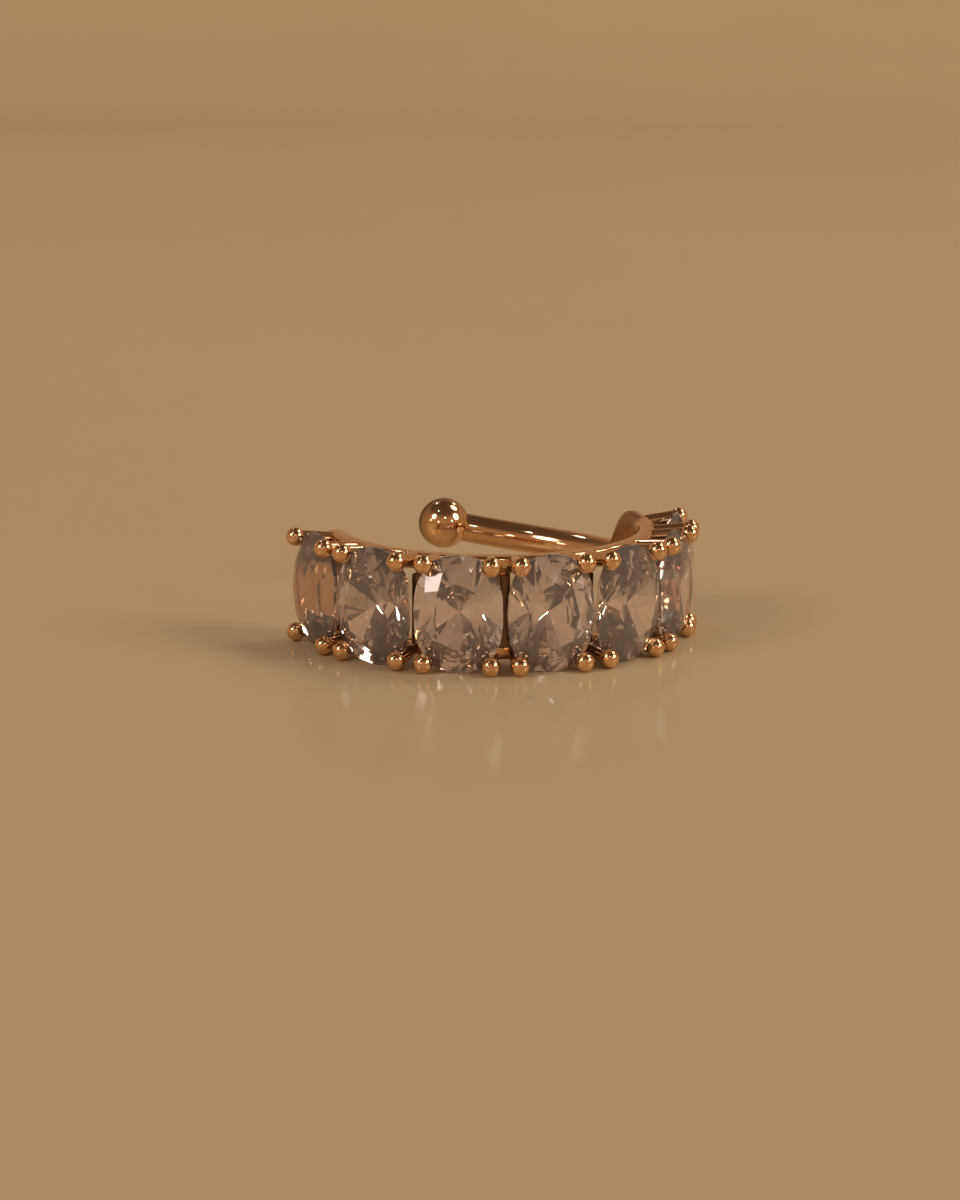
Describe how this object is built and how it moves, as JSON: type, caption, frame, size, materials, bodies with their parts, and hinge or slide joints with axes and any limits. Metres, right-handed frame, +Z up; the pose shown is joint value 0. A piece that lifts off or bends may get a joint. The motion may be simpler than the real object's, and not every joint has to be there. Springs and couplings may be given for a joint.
{
  "type": "ear cuff",
  "caption": "Open ear cuff: a half circle of oval clear stones in four-prong settings, closed by a round wire that ends in a ball, lying on its side.",
  "frame": {"origin": "on the axis of the ear hollow, level with the surface that the cuff lies on", "axes": "+Z up along the axis of the hollow, -Y out through the middle stone, +X towards the shoulder and the wire"},
  "size_m": [0.0148, 0.0146, 0.004],
  "materials": {
    "gold": "polished, warm yellow to rose gold plating",
    "stone": "clear, polished facets"
  },
  "bodies": {
    "root": {"cuff_frame": "gold", "stone_1": "stone", "stone_2": "stone", "stone_3": "stone", "stone_4": "stone", "stone_5": "stone", "stone_6": "stone", "stone_7": "stone"}
  },
  "joints": []
}
